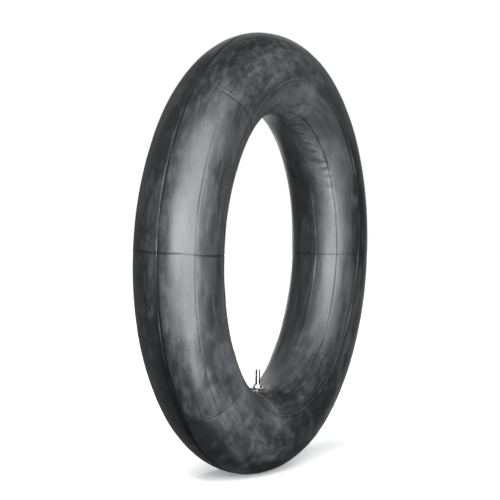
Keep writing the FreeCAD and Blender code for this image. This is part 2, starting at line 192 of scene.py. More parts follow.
def dome_place(round_angle, up_angle):
    """A place on the dome of lamps."""
    around, up = math.radians(round_angle), math.radians(up_angle)
    return Vector((-math.cos(up) * math.cos(around), -math.cos(up) * math.sin(around),
                   math.sin(up))) * DOME


def add_lamp(name, kind, place, aim, watts):
    """A lamp at a place, turned towards an aim, and never seen itself."""
    lamp = bpy.data.lights.new(name, kind)
    lamp.energy = watts
    holder = bpy.data.objects.new(name, lamp)
    holder.location = place
    holder.rotation_mode = "QUATERNION"
    holder.rotation_quaternion = (Vector(aim) - Vector(place)).to_track_quat("-Z", "Y")
    holder.visible_camera = False
    bpy.context.scene.collection.objects.link(holder)
    return holder


for name, round_angle, up_angle, watts in LAMPS:
    box = add_lamp(name, "AREA", dome_place(round_angle, up_angle), (0, 0, 0), watts)
    box.data.size = BOX_SIDE
    box.data.color = COOL_WHITE

grid = add_lamp("inner_grid", "AREA", GRID_PLACE, GRID_AIM, GRID_WATTS)
grid.data.size = GRID_SIDE
grid.data.spread = GRID_SPREAD

sun = add_lamp("floor_sun", "SUN", SUN_FROM, (0, 0, 0), SUN_STRENGTH)
sun.data.angle = SUN_ANGLE
floor_only = bpy.data.collections.new("floor_only")
floor_only.objects.link(floor)
sun.light_linking.receiver_collection = floor_only
print("lamps:", [row[0] for row in LAMPS], grid.name, sun.name)

# %% Camera
CAMERA_PLACE = Vector((-2.0861, -0.9633, 0.0341))
CAMERA_AIM = Vector((-0.00743, 0.01592, 0.00481))
CAMERA_ROLL = math.radians(1.97)
LENS = 113.35

camera = bpy.data.objects.new("camera", bpy.data.cameras.new("camera"))
camera.data.lens = LENS
camera.location = CAMERA_PLACE
camera.rotation_mode = "QUATERNION"
aim = (CAMERA_AIM - CAMERA_PLACE).to_track_quat("-Z", "Y")
camera.rotation_quaternion = aim @ Matrix.Rotation(CAMERA_ROLL, 3, "Z").to_quaternion()
bpy.context.scene.collection.objects.link(camera)
bpy.context.scene.camera = camera
print("camera", round((CAMERA_AIM - CAMERA_PLACE).length, 3), "m away")

# %% [markdown]
# ## The rubber ring
#
# The real ring is extruded as a tube, spliced, and cured with air pressure inside a mould. What it
# keeps from the mould is a parting line round the outside and one round the inside, fine vent lines
# that run round it on each flank, and short vent lines across it every eighth of a turn. The lines
# wander a little, because the rubber was soft when it was pressed into them.
#
# A torus primitive would have even spacing and no room for such fine ridges. Here a circle is spun
# round the wheel's axis, and its rows and columns are then drawn together where a line runs. So a
# ridge one millimetre wide gets real geometry while the plain rubber stays light. All further shape
# is a displacement along the section's own normal. Only the outer skin is made: the wall's inner
# face and the valve's hole are in the engineering model, and this skin doesn't have them.

# %% Lines that the mould leaves
SECTION_STEPS = 132
RING_STEPS = 720
TRACE = 4096

# each line round the ring: its angle on the section, height, half width, and the drift and phase
# of its slow wander, in degrees and millimetres
ROUND_LINES = [
    (0.0, -0.85, 1.2, 0.6, 0.3),
    (48.0, -0.40, 0.8, 1.0, 1.1),
    (107.5, 0.90, 0.9, 10.5, -0.08),
    (148.0, -0.35, 0.8, 1.2, 2.0),
    (180.0, 0.35, 1.1, 1.0, 0.7),
    (-148.0, -0.30, 0.9, 1.5, 1.4),
    (-107.5, 1.10, 0.9, 10.5, -0.08),
    (-48.0, -0.16, 0.8, 1.0, 0.5),
]
CROSS_WIDTH = 1.0
CROSS_STRENGTHS = (0.6, 0.25, 0.2, 0.9, 1.0, 0.8, 0.2, 0.25)
CROSS_LINES = len(CROSS_STRENGTHS)


def spread(steps, places, reach, gain):
    """Angles for that many steps round a circle, drawn together about the given places."""
    turn = np.linspace(-math.pi, math.pi, TRACE + 1)
    crowd = np.ones_like(turn)
    for place in places:
        off = np.angle(np.exp(1j * (turn - place)))
        crowd += gain * np.exp(-(off / reach) ** 2)
    count = np.concatenate([[0.0], np.cumsum((crowd[1:] + crowd[:-1]) / 2)])
    return np.interp(np.linspace(0, count[-1], steps + 1)[:-1], count, turn)


section_angles = spread(SECTION_STEPS, [math.radians(row[0]) for row in ROUND_LINES], 0.045, 5.0)
cross_places = [2 * math.pi * step / CROSS_LINES for step in range(CROSS_LINES)]
ring_angles = spread(RING_STEPS, cross_places, 0.012, 3.2)
print("closest rows:", round(float(np.diff(section_angles).min()) * SECTION / MM, 2), "mm apart")

# %% Spin the ring
# One sector is spun, and then the sector itself is spun round as copies, which is many times
# quicker than a single spin of all the steps.
SECTORS = 16


def everything(bm):
    return bm.verts[:] + bm.edges[:] + bm.faces[:]


bm = bmesh.new()
place = Matrix.Translation((RING, 0, 0))
bmesh.ops.create_circle(bm, segments=SECTION_STEPS, radius=SECTION, matrix=place)
sector = 2 * math.pi / SECTORS
bmesh.ops.spin(bm, geom=everything(bm), cent=(0, 0, 0), axis=(0, 1, 0), dvec=(0, 0, 0),
               angle=sector, steps=RING_STEPS // SECTORS, use_merge=False, use_duplicate=False)
bmesh.ops.spin(bm, geom=everything(bm), cent=(0, 0, 0), axis=(0, 1, 0), dvec=(0, 0, 0),
               angle=2 * math.pi - sector, steps=SECTORS - 1, use_merge=False,
               use_duplicate=True)
bmesh.ops.remove_doubles(bm, verts=bm.verts, dist=0.01 * MM)
bmesh.ops.recalc_face_normals(bm, faces=bm.faces)
tube_skin = tidy_mesh_object("tube_skin", bm)
print(len(tube_skin.data.polygons), "faces in the ring")


# %% [markdown]
# The mesh's vertices are now read once as angles: one round the ring, with the valve at the bottom,
# and one round the section, where 0 is the outermost circle and half a turn the innermost. Working
# on whole arrays of angles keeps the sculpting quick and exact.

# %% Read and write vertices as angles
def read_points(mesh):
    points = np.empty(len(mesh.vertices) * 3)
    mesh.vertices.foreach_get("co", points)
    return points.reshape(-1, 3)


def ring_and_section(points):
    """Angle round the ring, angle round the section, and distance from the section's centre."""
    out = np.hypot(points[:, 0], points[:, 2]) - RING
    return (np.arctan2(points[:, 2], points[:, 0]), np.arctan2(points[:, 1], out),
            np.hypot(out, points[:, 1]))


def from_angles(round_ring, round_section, radius):
    out = RING + radius * np.cos(round_section)
    return np.stack([out * np.cos(round_ring), radius * np.sin(round_section),
                     out * np.sin(round_ring)], axis=1)


def apart(angle, other):
    """Signed difference of two angles, never more than half a turn."""
    return np.angle(np.exp(1j * (angle - other)))


def bump(distance, half_width):
    return np.exp(-(distance / half_width) ** 2)


# %% Crowd the rows and columns, and let the lines wander
def step_of(angles, steps):
    """Which step of an even division each angle is, from minus half a turn."""
    return np.rint((angles + math.pi) / (2 * math.pi) * steps).astype(int) % steps


points = read_points(tube_skin.data)
round_ring, round_section, radius = ring_and_section(points)
round_ring = ring_angles[step_of(round_ring, RING_STEPS)]
round_section = section_angles[step_of(round_section, SECTION_STEPS)]

line_places = np.radians([row[0] for row in ROUND_LINES])


def wander(round_ring, round_section):
    """How far the rows near each line are led sideways, in radians of the section."""
    total = np.zeros_like(round_ring)
    order = np.argsort(line_places)
    ends = np.concatenate([line_places[order], [line_places[order][0] + 2 * math.pi]])
    here = np.where(round_section < ends[0], round_section + 2 * math.pi, round_section)
    led = []
    for index in order:
        _, _, _, drift, phase = ROUND_LINES[index]
        side = -1 if ROUND_LINES[index][0] > 0 else 1
        slow = side * drift * np.sin(round_ring + phase)
        wobble = 0.35 * np.sin(5 * round_ring + 3 * phase) + 0.2 * np.sin(11 * round_ring + phase)
        led.append(np.radians(slow + wobble))
    led.append(led[0])
    for low, high, first, last in zip(ends[:-1], ends[1:], led[:-1], led[1:]):
        inside = (here >= low) & (here < high)
        share = (here - low) / (high - low)
        ease = share * share * (3 - 2 * share)
        total += np.where(inside, first * (1 - ease) + last * ease, 0)
    return total


lined_section = round_section + wander(round_ring, round_section)
print("lines wander by up to", round(math.degrees(np.abs(lined_section - round_section).max()), 1))

# %% Noise on the ring
# Noise on a torus has to close on itself both ways, so it is read at the point's place on a torus
# of other proportions: a fatter one gives a finer pattern round the section, a wider one a finer
# pattern along the ring.
def torus_noise(along, across, seed, detail=3):
    """Noise over the ring, with its size along and across in millimetres."""
    wide, fat = RING / MM / along, SECTION / MM / across
    out = wide + fat * np.cos(round_section)
    spots = np.stack([out * np.cos(round_ring), fat * np.sin(round_section),
                      out * np.sin(round_ring)], axis=1) + seed
    return np.array([noise.fractal(Vector(spot), 0.9, 2.0, detail) for spot in spots])


def patch_of(ring_degrees, section_degrees, along, across):
    """A soft oval region of the ring, from 0 to 1."""
    off_along = apart(round_ring, math.radians(ring_degrees)) * RING / MM / along
    off_across = apart(round_section, math.radians(section_degrees)) * SECTION / MM / across
    return np.exp(-(off_along ** 2 + off_across ** 2))


# %% Press in the lines
swell = np.zeros_like(round_ring)
line_dirt_and_shade = np.zeros_like(round_ring)
ridge_polish_and_highlight = np.zeros_like(round_ring)
fade = np.clip(0.75 + 1.1 * torus_noise(60, 60, 41.7, 2), 0.25, 1.15)
# Grooves are darkened in the colour: dirt and painted shade together. Beside each raised line the
# colour is darker, as painted shade at its foot, and its top is lighter and glossier: a painted
# highlight.
for place, tall, half, _, _ in ROUND_LINES:
    off = apart(round_section, math.radians(place)) * SECTION / MM
    shoulders = bump(np.abs(off) - 2.6 * half, 1.2 * half)
    swell += fade * tall * bump(off, half) - 0.25 * tall * shoulders
    if tall < 0:
        line_dirt_and_shade += fade * min(1.1, 2.5 * abs(tall)) * bump(off, 1.3 * half)
    else:
        line_dirt_and_shade += 0.5 * tall * bump(np.abs(off) - 2.4 * half, 1.1 * half)
        ridge_polish_and_highlight += fade * tall * bump(off, half)
# The short lines across are grooves, darkened the same way: dirt and painted shade.
for index, (place, strength) in enumerate(zip(cross_places, CROSS_STRENGTHS)):
    width = (RING + SECTION * np.cos(round_section)) / MM
    crook = (0.8 * np.sin(2.0 * round_section + index)
             + 0.5 * np.sin(5.0 * round_section + 2 * index))
    off = apart(round_ring, place) * width - crook
    lip = 0.2 * bump(off + 2.4, 1.3 * CROSS_WIDTH)
    swell += strength * fade * (lip - 0.6 * bump(off, CROSS_WIDTH))
    line_dirt_and_shade += strength * fade * bump(off, 1.1 * CROSS_WIDTH)
print("lines from", round(float(swell.min()), 2), "to", round(float(swell.max()), 2), "mm")

# %% [markdown]
# An inflated ring is never quite even. The wall stretches a little more here than there, so the
# band of light on it has soft, wavering edges. Where the ring was folded in its box, on the inner
# wall and near the valve, a chain of small puckers is left. Both are worked out together here: a
# height for the shape, and masks for the finish that paint the raised beads and creases lighter,
# as a painted highlight, and the hollows between them darker, as painted shade.

# %% Uneven wall
swell += 0.45 * torus_noise(95, 40, 3.1) + 0.10 * torus_noise(22, 14, 9.7)
swell += 0.06 * torus_noise(7, 5, 5.5, 2)

# %% Folds and puckers
# each fold: angle round the ring, on the section, length along and across in millimetres, depth
FOLDS = [
    (80, -150, 40, 16, 0.9), (55, -156, 45, 14, 1.0), (104, -135, 18, 14, 0.9),
    (36, -158, 30, 12, 0.6), (262, -103, 22, 16, 1.0), (250, -108, 14, 12, 0.8),
    (267, -100, 10, 22, 0.7), (292, -150, 40, 26, 0.35), (118, -60, 60, 40, 0.25),
]
PUCKER_STEP = 15.0
creases = np.clip(1 - np.abs(torus_noise(16, 9, 21.3, 2)) * 2.2, 0, 1) ** 2
folded = np.zeros_like(round_ring)
for ring_place, section_place, along, across, depth in FOLDS:
    folded = np.maximum(folded, depth * patch_of(ring_place, section_place, along, across))
swell += 1.2 * creases * folded
chain_place = np.radians(-157 + 5 * np.sin(4 * round_ring))
chain = bump(apart(round_section, chain_place) * SECTION / MM, 6.0)
chain *= bump(apart(round_ring, math.radians(66)) * INNER / MM, 115)
beads = 0.5 + 0.5 * np.cos(round_ring * INNER / MM * 2 * math.pi / PUCKER_STEP
                           + 9 * round_section + 5.0 * torus_noise(40, 16, 33.0, 2))
swell += 1.7 * chain * beads
# Darker colour in the hollows between the beads and between the fold creases: painted shade.
line_dirt_and_shade += 0.5 * chain * (1 - beads) + 0.25 * folded * (1 - creases)
print("the wall varies by", round(float(swell.min()), 2), "to", round(float(swell.max()), 2), "mm")

# %% Release agent, with painted light and painted shade
# each mark: angle round the ring, on the section, length along and across, strength
# Positive strengths give lighter rubber: release agent and painted light, most of it on the inner
# wall and beside the valve. Negative strengths give darker, less glossy rubber: painted shade, in
# patches round the ring and by the bridge washer.
PAINTED_LIGHT_AND_RELEASE_MARKS = [
    (85, -132, 85, 24, 0.55), (45, -158, 60, 20, 0.45), (40, -130, 60, 20, 0.3),
    (15, -165, 60, 16, 0.2), (15, -104, 110, 16, -0.6), (310, -175, 55, 22, 0.6),
    (290, 175, 30, 22, 0.5),
    (257, -155, 9, 34, 1.1), (260, -130, 10, 20, 1.0), (257, -106, 20, 14, 0.8),
    (226, -76, 24, 24, 0.3), (279, -140, 22, 24, -0.35),
    (330, -165, 60, 18, 0.25), (108, -80, 50, 22, 0.25), (246, -60, 30, 30, 0.2),
    (222, 8, 110, 12, -0.8), (288, -82, 75, 24, -1.2), (262, -35, 70, 18, -0.6),
    (235, -12, 50, 20, -0.8), (36, 142, 80, 30, -1.1),
    (212, -48, 60, 20, -0.5), (95, -25, 90, 18, -0.8),
    (130, 12, 160, 10, -0.3), (276, -162, 9, 11, -1.3), (200, 35, 160, 22, -0.4),
]
# Lighter colour on the raised beads and fold creases: painted highlight.
release_agent_and_painted_light = 0.35 * folded * creases + 0.6 * chain * beads
mark_clouds = 0.75 + 0.9 * torus_noise(26, 15, 55.0)
for ring_place, section_place, along, across, strength in PAINTED_LIGHT_AND_RELEASE_MARKS:
    release_agent_and_painted_light += strength * mark_clouds * patch_of(ring_place, section_place, along, across)
arc = np.hypot(apart(round_ring, math.radians(221)) * RING / MM / 76,
               apart(round_section, math.radians(-78)) * SECTION / MM / 42)
release_agent_and_painted_light += 0.22 * np.clip((1 - arc) * 9, 0, 1) * (arc > 0.35)
swell += 0.45 * bump((1 - arc) * 42, 1.5) * (round_ring > math.radians(-150)) * (round_ring < 0)
# The crease on the lower left is pressed in, and a band along it and a small spot near it are
# darkened in the colour: painted shade.
crease = patch_of(217, 1, 130, 5)
line_dirt_and_shade += 1.4 * patch_of(217, 1.5, 130, 4.2) + 0.5 * patch_of(224, -46, 9, 6)
# A ridge running from the valve round to the right is made lighter and glossier: a painted
# highlight.
ridge_polish_and_highlight *= 1 + 2.2 * patch_of(281, -115, 95, 30)
swell -= 0.9 * crease
mottle = np.clip(0.15 + patch_of(100, -70, 150, 70) + patch_of(-100, -110, 230, 90), 0, 1)
print("release marks cover", round(float((release_agent_and_painted_light > 0.2).mean()) * 100), "% of the ring")

# %% Smooth seat for the patch, and the final shape
under_patch = np.clip(1.6 - np.hypot(apart(round_ring, -math.pi / 2) * INNER / MM / 46,
                                     apart(round_section, math.pi) * SECTION / MM / 30), 0, 1)
swell *= 1 - np.clip(under_patch * 2, 0, 1)

radius = SECTION + swell * MM
points = from_angles(round_ring, lined_section, radius)
tube_skin.data.vertices.foreach_set("co", points.ravel())
tube_skin.data.update()
print("the wall varies by", round(float(swell.min()), 2), "to", round(float(swell.max()), 2), "mm")

# %% [markdown]
# The finish needs to know where the lines, the ridges and the release-agent marks are, and where
# light and shade are painted. They are stored with the mesh as one number for each vertex, so the
# finish can darken a line with dirt and painted shade, paint a highlight on a ridge, or paint light
# and shade on a mark and dull it exactly where the shape has it, from every side.

# %% Store what the finish needs to know
def store(mesh, name, values):
    layer = mesh.attributes.new(name, "FLOAT", "POINT")
    layer.data.foreach_set("value", np.clip(values, 0, 1).astype(np.float32))


store(tube_skin.data, "line_dirt_and_shade", line_dirt_and_shade)
store(tube_skin.data, "ridge_polish_and_highlight", ridge_polish_and_highlight)
store(tube_skin.data, "release_agent_and_painted_light", 0.5 + 0.5 * release_agent_and_painted_light)
store(tube_skin.data, "mottle", mottle)
print("stored the masks for", len(tube_skin.data.vertices), "vertices")

# %% [markdown]
# ## Finishes for the rubber
#
# Butyl comes out of the mould satin black. Release agent and talc leave a thin grey bloom on it, in
# clouds and wipes that follow the ring, because the ring is turned while it is dusted and handled.
# Two groups carry what the ring and the patch share: the first gives cloud shapes at any length and
# width along the ring, the second the fine grain of the rubber itself.

# %% Cloud shapes that follow the ring
def new_group(name, inputs, outputs):
    """A shader group with named number sockets, and its two end nodes."""
    group = bpy.data.node_groups.new(name, "ShaderNodeTree")
    for label, default in inputs.items():
        socket = group.interface.new_socket(label, in_out="INPUT", socket_type="NodeSocketFloat")
        socket.default_value = default
    for label in outputs:
        group.interface.new_socket(label, in_out="OUTPUT", socket_type="NodeSocketFloat")
    return group, group.nodes.new("NodeGroupInput"), group.nodes.new("NodeGroupOutput")


def maths(tree, operation, first, second=0.0):
    return node(tree, "Math", {0: first, 1: second}, operation=operation).outputs[0]


clouds, given, result = new_group(
    "ring_clouds", {"Along": 60.0, "Across": 25.0, "Shift": 0.0, "Low": 0.4, "High": 0.6},
    ["Mask"])
spot = node(clouds, "SeparateXYZ", {"Vector": node(clouds, "TexCoord").outputs["Object"]})
flat = node(clouds, "CombineXYZ", {"X": spot.outputs["X"], "Y": spot.outputs["Z"]})
reach = node(clouds, "VectorMath", {0: flat.outputs[0]}, operation="LENGTH").outputs["Value"]
out = maths(clouds, "DIVIDE", maths(clouds, "SUBTRACT", reach, RING), given.outputs["Across"])
stretched = maths(clouds, "ADD", maths(clouds, "DIVIDE", RING, given.outputs["Along"]), out)
ratio = maths(clouds, "DIVIDE", maths(clouds, "DIVIDE", stretched, reach), MM)
place = node(clouds, "CombineXYZ", {
    "X": maths(clouds, "MULTIPLY", spot.outputs["X"], ratio),
    "Y": maths(clouds, "DIVIDE", spot.outputs["Y"],
               maths(clouds, "MULTIPLY", given.outputs["Across"], MM)),
    "Z": maths(clouds, "MULTIPLY", spot.outputs["Z"], ratio),
})
shifted = node(clouds, "VectorMath", {0: place.outputs[0], 1: given.outputs["Shift"]},
               operation="ADD")
cloud = node(clouds, "TexNoise", {"Vector": shifted.outputs[0], "Scale": 1.0, "Detail": 5.0,
                                  "Roughness": 0.58, "Distortion": 0.5})
sharp = node(clouds, "MapRange", {"Value": cloud.outputs[0], "From Min": given.outputs["Low"],
                                  "From Max": given.outputs["High"]},
             interpolation_type="SMOOTHSTEP")
clouds.links.new(sharp.outputs["Result"], result.inputs["Mask"])
print("made the group", clouds.name)

# %% Grain of the rubber
grain, given, result = new_group("rubber_grain", {"Size": 1.6}, ["Height", "Speckle"])
scale = maths(grain, "DIVIDE", 1.0, maths(grain, "MULTIPLY", given.outputs["Size"], MM))
where = node(grain, "TexCoord").outputs["Object"]
fine = node(grain, "TexNoise", {"Vector": where, "Scale": scale, "Detail": 4.0})
pores = node(grain, "TexVoronoi", {"Vector": where, "Scale": maths(grain, "MULTIPLY", scale, 0.45)})
height = maths(grain, "ADD", fine.outputs[0], maths(grain, "MULTIPLY", pores.outputs[0], 0.35))
speckle = node(grain, "MapRange", {"Value": fine.outputs[0], "From Min": 0.45, "From Max": 0.75})
grain.links.new(height, result.inputs["Height"])
grain.links.new(speckle.outputs["Result"], result.inputs["Speckle"])
print("made the group", grain.name)


# %% Butyl
def use_group(tree, group, values):
    made = tree.nodes.new("ShaderNodeGroup")
    made.node_tree = group
    for label, value in values.items():
        made.inputs[label].default_value = value
    return made


def blend(tree, share, first, second):
    """Mix two colours by a share that varies over the surface."""
    mixed = node(tree, "Mix", data_type="RGBA")
    for socket, value in ((mixed.inputs[0], share), (mixed.inputs[6], first),
                          (mixed.inputs[7], second)):
        if isinstance(value, bpy.types.NodeSocket):
            tree.links.new(value, socket)
        else:
            socket.default_value = value
    return mixed.outputs[2]


def stored(tree, name):
    return node(tree, "Attribute", attribute_name=name).outputs["Fac"]


BLACK = (0.008, 0.0083, 0.0088, 1.0)
BLOOM_AND_PAINTED_LIGHT = (0.052, 0.0535, 0.056, 1.0)
DIRT_AND_SHADE = (0.003, 0.003, 0.0033, 1.0)
CLEAN_POLISH = 0.32
DUSTY_POLISH = 0.50


def rubber_finish(name, bloom_gain, masks):
    """Satin rubber with bloom in clouds and wipes; with the masks, painted light and painted shade,
    lines darkened by dirt and painted shade, and less gleam there.
    """
    material, tree, shader = new_material(name)
    wide = use_group(tree, clouds, {"Along": 62, "Across": 30, "Shift": 3.0, "Low": 0.36,
                                    "High": 0.68})
    wipes = use_group(tree, clouds, {"Along": 110, "Across": 7, "Shift": 11.0, "Low": 0.42,
                                     "High": 0.72})
    blots = use_group(tree, clouds, {"Along": 16, "Across": 11, "Shift": 23.0, "Low": 0.45,
                                     "High": 0.62})
    fine = use_group(tree, grain, {"Size": 1.4})
    pale_share = maths(tree, "MULTIPLY", wide.outputs[0], 0.24)
    pale_share = maths(tree, "ADD", pale_share, maths(tree, "MULTIPLY", wipes.outputs[0], 0.30))
    blotted = blots.outputs[0]
    if masks:
        blotted = maths(tree, "MULTIPLY", blotted, stored(tree, "mottle"))
    pale_share = maths(tree, "ADD", pale_share, maths(tree, "MULTIPLY", blotted, 0.34))
    pale_share = maths(tree, "ADD", pale_share, maths(tree, "MULTIPLY", fine.outputs["Speckle"], 0.10))
    if masks:
        # The marks add release agent, painted light and painted shade to the colour, and the ridges
        # a painted highlight.
        marked = maths(tree, "SUBTRACT", stored(tree, "release_agent_and_painted_light"), 0.5)
        pale_share = maths(tree, "ADD", pale_share, maths(tree, "MULTIPLY", marked, 2.0))
        painted_ridge_highlight = maths(tree, "MULTIPLY", stored(tree, "ridge_polish_and_highlight"), 0.15)
        pale_share = maths(tree, "ADD", pale_share, painted_ridge_highlight)
    pale_share = node(tree, "Math", {0: pale_share, 1: bloom_gain}, operation="MULTIPLY",
                 use_clamp=True).outputs[0]
    colour = blend(tree, pale_share, BLACK, BLOOM_AND_PAINTED_LIGHT)
    rough = node(tree, "MapRange", {"Value": pale_share, "To Min": CLEAN_POLISH,
                                    "To Max": DUSTY_POLISH})
    rough = rough.outputs["Result"]
    if masks:
        # Lines, creases and hollows are darkened: dirt and painted shade.
        colour = blend(tree, stored(tree, "line_dirt_and_shade"), colour, DIRT_AND_SHADE)
        shine = maths(tree, "MULTIPLY", stored(tree, "ridge_polish_and_highlight"), 0.10)
        rough = maths(tree, "SUBTRACT", rough, shine)
        # Specular level falls where the marks paint shade and in the darkened lines.
        marked_gleam = node(tree, "MapRange", {"Value": marked, "From Min": -0.45, "From Max": -0.05,
                                        "To Min": 0.12, "To Max": 0.5}).outputs["Result"]
        filled = maths(tree, "MULTIPLY", stored(tree, "line_dirt_and_shade"), -0.4)
        gleam = maths(tree, "MULTIPLY", marked_gleam, maths(tree, "ADD", filled, 1.0))
        tree.links.new(gleam, shader.inputs["Specular IOR Level"])
    bumps = node(tree, "Bump", {"Height": fine.outputs["Height"], "Strength": 0.35,
                                "Distance": 0.25 * MM})
    tree.links.new(colour, shader.inputs["Base Color"])
    tree.links.new(rough, shader.inputs["Roughness"])
    tree.links.new(bumps.outputs["Normal"], shader.inputs["Normal"])
    return material


butyl = rubber_finish("butyl", 1.0, masks=True)
patch_rubber = rubber_finish("patch_rubber", 0.8, masks=False)
tube_skin.data.materials.append(butyl)
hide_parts("tube_body")
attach(tube_skin, "tube")
print("finished", tube_skin.name)

# %% [markdown]
# ## The patch round the valve
#
# The valve pulls on the rubber, so an oval patch is cured on to share the load. It is thinned to
# nothing at its edge. Here rings are drawn out from the valve's hole to the oval, and every vertex
# is then laid on the torus at the height that the patch has there.

# %% Lay the patch on the ring
patch_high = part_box("valve_patch")[1]
PATCH_LONG = patch_high.x
PATCH_WIDE = patch_high.y
PATCH_THICK = 1.0 * MM
PATCH_HOLE = 3.9 * MM
PATCH_RINGS = 22
PATCH_SINK = 0.3 * MM


def on_ring(x, y, above):
    """Height of the ring's inner surface over a point, with something laid on it."""
    fat = SECTION + above
    reach = RING - math.sqrt(fat * fat - y * y)
    return -math.sqrt(reach * reach - x * x)


bm = bmesh.new()
bmesh.ops.create_circle(bm, segments=96, radius=PATCH_HOLE)
loop = bm.edges[:]
for ring in range(1, PATCH_RINGS + 1):
    grown = bmesh.ops.extrude_edge_only(bm, edges=loop)["geom"]
    loop = [item for item in grown if isinstance(item, bmesh.types.BMEdge)]
    loop = [item for item in loop if len(item.link_faces) == 1]
    share = ring / PATCH_RINGS
    for vertex in {vertex for item in loop for vertex in item.verts}:
        way = Vector((vertex.co.x, vertex.co.y, 0)).normalized()
        oval = 1 / math.hypot(way.x / PATCH_LONG, way.y / PATCH_WIDE)
        vertex.co = way * (PATCH_HOLE + (oval - PATCH_HOLE) * share)
for vertex in bm.verts:
    x, y, _ = vertex.co
    rim = math.hypot(x / PATCH_LONG, y / PATCH_WIDE)
    feather = min(1.0, max(0.0, (1 - rim) / 0.16))
    ribs = 0.06 * MM * math.cos(math.hypot(x, y) / MM * 2.4) * (rim < 0.84)
    above = PATCH_THICK * math.sqrt(feather) + ribs - PATCH_SINK * (1 - feather)
    vertex.co.z = on_ring(x, y, above)
bmesh.ops.recalc_face_normals(bm, faces=bm.faces)
bmesh.ops.solidify(bm, geom=bm.faces[:], thickness=0.8 * MM)
patch_skin = tidy_mesh_object("patch_skin", bm)
patch_skin.data.materials.append(patch_rubber)
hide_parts("valve_patch")
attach(patch_skin, "tube")
print("patch:", [round(side / MM, 1) for side in patch_skin.dimensions], "mm")

# %% [markdown]
# ## Finishes for the metal
#
# The stem is brass with a bright nickel plate, and the nuts and washers are zinc-plated steel. New
# plate is never uniform: it is a little duller in the corners, and handling leaves a faint bloom
# and hair scratches. One group makes both, and each metal mixes it in its own measure.

# %% Handling marks on plated metal
marks, given, result = new_group("handling_marks", {"Size": 2.5}, ["Dull", "Scratches"])
where = node(marks, "TexCoord").outputs["Object"]
scale = maths(marks, "DIVIDE", 1.0, maths(marks, "MULTIPLY", given.outputs["Size"], MM))
cloud = node(marks, "TexNoise", {"Vector": where, "Scale": scale, "Detail": 4.0})
dull = node(marks, "MapRange", {"Value": cloud.outputs[0], "From Min": 0.4, "From Max": 0.7})
drawn = node(marks, "Mapping", {"Vector": where, "Rotation": (0.4, 0.3, 0.9),
                                "Scale": (9.0, 0.6, 5.0)})
hair = node(marks, "TexNoise", {"Vector": drawn.outputs[0], "Scale": scale, "Detail": 2.0})
marks.links.new(dull.outputs["Result"], result.inputs["Dull"])
marks.links.new(hair.outputs[0], result.inputs["Scratches"])


def metal_finish(name, bright, dulled, polish, worn_polish, scratch):
    """Plated or bare metal, with a duller colour and polish where it was handled."""
    material, tree, shader = new_material(name, Metallic=1.0)
    handled = use_group(tree, marks, {"Size": 2.5})
    colour = blend(tree, handled.outputs["Dull"], bright, dulled)
    rough = node(tree, "MapRange", {"Value": handled.outputs["Dull"], "To Min": polish,
                                    "To Max": worn_polish})
    bumps = node(tree, "Bump", {"Height": handled.outputs["Scratches"], "Strength": scratch,
                                "Distance": 0.02 * MM})
    tree.links.new(colour, shader.inputs["Base Color"])
    tree.links.new(rough.outputs["Result"], shader.inputs["Roughness"])
    tree.links.new(bumps.outputs["Normal"], shader.inputs["Normal"])
    return material


nickel = metal_finish("nickel_plate", (0.62, 0.60, 0.57, 1), (0.42, 0.40, 0.37, 1), 0.16, 0.3, 0.3)
zinc = metal_finish("zinc_plate", (0.52, 0.50, 0.50, 1), (0.36, 0.34, 0.34, 1), 0.24, 0.42, 0.5)
brass = metal_finish("turned_brass", (0.80, 0.60, 0.28, 1), (0.58, 0.41, 0.18, 1), 0.2, 0.36, 0.4)
wire = metal_finish("spring_wire", (0.55, 0.55, 0.57, 1), (0.36, 0.36, 0.38, 1), 0.25, 0.4, 0.3)
print("metals:", nickel.name, zinc.name, brass.name, wire.name)

# %% [markdown]
# ## The valve stem
#
# The stem is turned from bar: a broad flange inside the rubber, a threaded shank, and a plain nose
# where the pump's seal grips. The body is a closed outline spun round the stem's axis. The thread
# is a real one: the outline of a single turn is spun many times while it climbs, which leaves a
# helix whose turns are then merged. Flat planes cut its two ends. The thread is a second, open
# shell round the body, and its top end keeps some stray flaps, which are a known fault.

# %% Helpers for turned pieces
TURN_STEPS = 64


def spin_outline(bm, corners, steps=TURN_STEPS):
    """Turn a closed outline of radius and height once round the valve's axis."""
    dots = [bm.verts.new((radius, 0, height)) for radius, height in corners]
    for first, last in zip(dots, dots[1:] + dots[:1]):
        bm.edges.new((first, last))
    bmesh.ops.spin(bm, geom=everything(bm), cent=(0, 0, 0), axis=(0, 0, 1), dvec=(0, 0, 0),
                   angle=2 * math.pi, steps=steps, use_merge=True, use_duplicate=False)
    bmesh.ops.remove_doubles(bm, verts=bm.verts, dist=0.001 * MM)


def soften(bm, width, least_angle=30):
    """Round the sharp edges, as tumbling and plating do."""
    bmesh.ops.recalc_face_normals(bm, faces=bm.faces)
    sharp = [item for item in bm.edges if item.calc_face_angle(0) > math.radians(least_angle)]
    bmesh.ops.bevel(bm, geom=sharp, offset=width, segments=2, profile=0.5, affect="EDGES",
                    material=-1, clamp_overlap=True)


def finish_piece(piece, node_name, body, material, smooth_angle=35):
    """Give a piece its material, hide the frame's part it stands for, and hang it on its body."""
    for face in piece.data.polygons:
        face.use_smooth = True
    piece.data.set_sharp_from_angle(angle=math.radians(smooth_angle))
    piece.data.materials.append(material)
    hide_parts(node_name)
    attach(piece, body)
    low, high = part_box(node_name)
    mine = [Vector(corner) for corner in piece.bound_box]
    print(piece.name, "height", round((mine[6].z - mine[0].z) / MM, 2), "mm, frame",
          round((high.z - low.z) / MM, 2))


